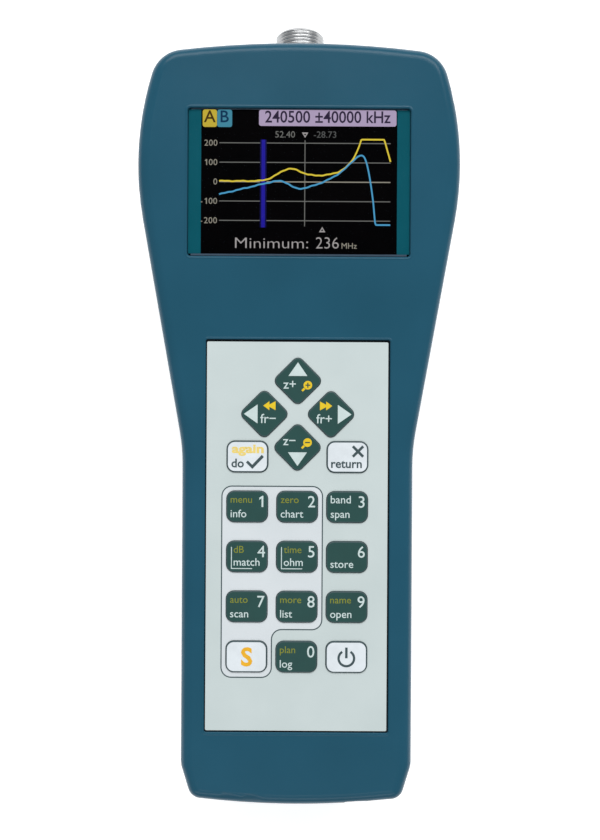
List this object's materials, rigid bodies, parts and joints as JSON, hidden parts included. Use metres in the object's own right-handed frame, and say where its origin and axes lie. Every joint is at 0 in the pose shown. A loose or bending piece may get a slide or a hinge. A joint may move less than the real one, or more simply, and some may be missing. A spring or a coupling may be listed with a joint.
{
  "type": "antenna analyzer",
  "caption": "Handheld antenna analyzer: waisted two-part plastic case with a colour display, sprung keys, a threaded coaxial jack and a sliding battery cover.",
  "frame": {"origin": "on the flat rear face, midway along and across the case", "axes": "+Z out of the display face, +Y along the case towards the antenna jack, +X to the reader's right"},
  "size_m": [0.098, 0.2408, 0.0422],
  "materials": {
    "case": "fine matte moulding, blue-green",
    "lens": "clear lens, printed border",
    "screen": "colour display",
    "diffuser": "white diffuser",
    "overlay": "printed polyester",
    "dark_key": "printed, dark green",
    "light_key": "printed, pale",
    "dome": "sprung steel",
    "board": "green laminate",
    "ribbon": "amber film",
    "package": "black moulding",
    "socket": "ivory moulding",
    "steel": "pressed sheet",
    "nickel": "nickel-plated brass",
    "insulator": "white fluoropolymer",
    "gold": "gold-plated",
    "cell": "sleeved can",
    "spring": "nickel-plated spring",
    "screw": "blackened steel"
  },
  "bodies": {
    "case": {"front_shell": "case", "rear_shell": "case", "display_window": "lens", "display_frame": "steel", "display_panel": "screen", "backlight_plate": "diffuser", "display_ribbon": "ribbon", "keypad_overlay": "overlay", "keypad_board": "board", "keypad_ribbon": "ribbon", "main_board": "board", "rf_shield": "steel", "processor": "package", "memory": "package", "beeper": "package", "display_socket": "socket", "keypad_socket": "socket", "usb_shell": "steel", "usb_tongue": "package", "connector_body": "nickel", "connector_insulator": "insulator", "connector_contact": "gold", "battery_1": "cell", "battery_2": "cell", "battery_3": "cell", "battery_springs": "spring", "battery_plates": "spring", "case_screws": "screw", "key_domes": "dome"},
    "cover": {"battery_cover": "case"},
    "key_enter_body": {"key_enter": "light_key"},
    "key_cancel_body": {"key_cancel": "light_key"},
    "key_1_body": {"key_1": "dark_key"},
    "key_2_body": {"key_2": "dark_key"},
    "key_3_body": {"key_3": "dark_key"},
    "key_4_body": {"key_4": "dark_key"},
    "key_5_body": {"key_5": "dark_key"},
    "key_6_body": {"key_6": "dark_key"},
    "key_7_body": {"key_7": "dark_key"},
    "key_8_body": {"key_8": "dark_key"},
    "key_9_body": {"key_9": "dark_key"},
    "key_function_body": {"key_function": "light_key"},
    "key_0_body": {"key_0": "dark_key"},
    "key_power_body": {"key_power": "light_key"},
    "key_up_body": {"key_up": "dark_key"},
    "key_left_body": {"key_left": "dark_key"},
    "key_right_body": {"key_right": "dark_key"},
    "key_down_body": {"key_down": "dark_key"}
  },
  "joints": [
    {"name": "cover_slide", "type": "slide", "parent": "case", "child": "cover", "axis": [0, -1, 0], "range_m": [0, 0.06]},
    {"name": "key_enter_press", "type": "slide", "parent": "case", "child": "key_enter_body", "axis": [0, 0, -1], "range_m": [0, 0.0004], "stiffness_N_per_m": 500, "deforming": ["key_domes"]},
    {"name": "key_cancel_press", "type": "slide", "parent": "case", "child": "key_cancel_body", "axis": [0, 0, -1], "range_m": [0, 0.0004], "stiffness_N_per_m": 500, "deforming": ["key_domes"]},
    {"name": "key_1_press", "type": "slide", "parent": "case", "child": "key_1_body", "axis": [0, 0, -1], "range_m": [0, 0.0004], "stiffness_N_per_m": 500, "deforming": ["key_domes"]},
    {"name": "key_2_press", "type": "slide", "parent": "case", "child": "key_2_body", "axis": [0, 0, -1], "range_m": [0, 0.0004], "stiffness_N_per_m": 500, "deforming": ["key_domes"]},
    {"name": "key_3_press", "type": "slide", "parent": "case", "child": "key_3_body", "axis": [0, 0, -1], "range_m": [0, 0.0004], "stiffness_N_per_m": 500, "deforming": ["key_domes"]},
    {"name": "key_4_press", "type": "slide", "parent": "case", "child": "key_4_body", "axis": [0, 0, -1], "range_m": [0, 0.0004], "stiffness_N_per_m": 500, "deforming": ["key_domes"]},
    {"name": "key_5_press", "type": "slide", "parent": "case", "child": "key_5_body", "axis": [0, 0, -1], "range_m": [0, 0.0004], "stiffness_N_per_m": 500, "deforming": ["key_domes"]},
    {"name": "key_6_press", "type": "slide", "parent": "case", "child": "key_6_body", "axis": [0, 0, -1], "range_m": [0, 0.0004], "stiffness_N_per_m": 500, "deforming": ["key_domes"]},
    {"name": "key_7_press", "type": "slide", "parent": "case", "child": "key_7_body", "axis": [0, 0, -1], "range_m": [0, 0.0004], "stiffness_N_per_m": 500, "deforming": ["key_domes"]},
    {"name": "key_8_press", "type": "slide", "parent": "case", "child": "key_8_body", "axis": [0, 0, -1], "range_m": [0, 0.0004], "stiffness_N_per_m": 500, "deforming": ["key_domes"]},
    {"name": "key_9_press", "type": "slide", "parent": "case", "child": "key_9_body", "axis": [0, 0, -1], "range_m": [0, 0.0004], "stiffness_N_per_m": 500, "deforming": ["key_domes"]},
    {"name": "key_function_press", "type": "slide", "parent": "case", "child": "key_function_body", "axis": [0, 0, -1], "range_m": [0, 0.0004], "stiffness_N_per_m": 500, "deforming": ["key_domes"]},
    {"name": "key_0_press", "type": "slide", "parent": "case", "child": "key_0_body", "axis": [0, 0, -1], "range_m": [0, 0.0004], "stiffness_N_per_m": 500, "deforming": ["key_domes"]},
    {"name": "key_power_press", "type": "slide", "parent": "case", "child": "key_power_body", "axis": [0, 0, -1], "range_m": [0, 0.0004], "stiffness_N_per_m": 500, "deforming": ["key_domes"]},
    {"name": "key_up_press", "type": "slide", "parent": "case", "child": "key_up_body", "axis": [0, 0, -1], "range_m": [0, 0.0004], "stiffness_N_per_m": 500, "deforming": ["key_domes"]},
    {"name": "key_left_press", "type": "slide", "parent": "case", "child": "key_left_body", "axis": [0, 0, -1], "range_m": [0, 0.0004], "stiffness_N_per_m": 500, "deforming": ["key_domes"]},
    {"name": "key_right_press", "type": "slide", "parent": "case", "child": "key_right_body", "axis": [0, 0, -1], "range_m": [0, 0.0004], "stiffness_N_per_m": 500, "deforming": ["key_domes"]},
    {"name": "key_down_press", "type": "slide", "parent": "case", "child": "key_down_body", "axis": [0, 0, -1], "range_m": [0, 0.0004], "stiffness_N_per_m": 500, "deforming": ["key_domes"]}
  ]
}
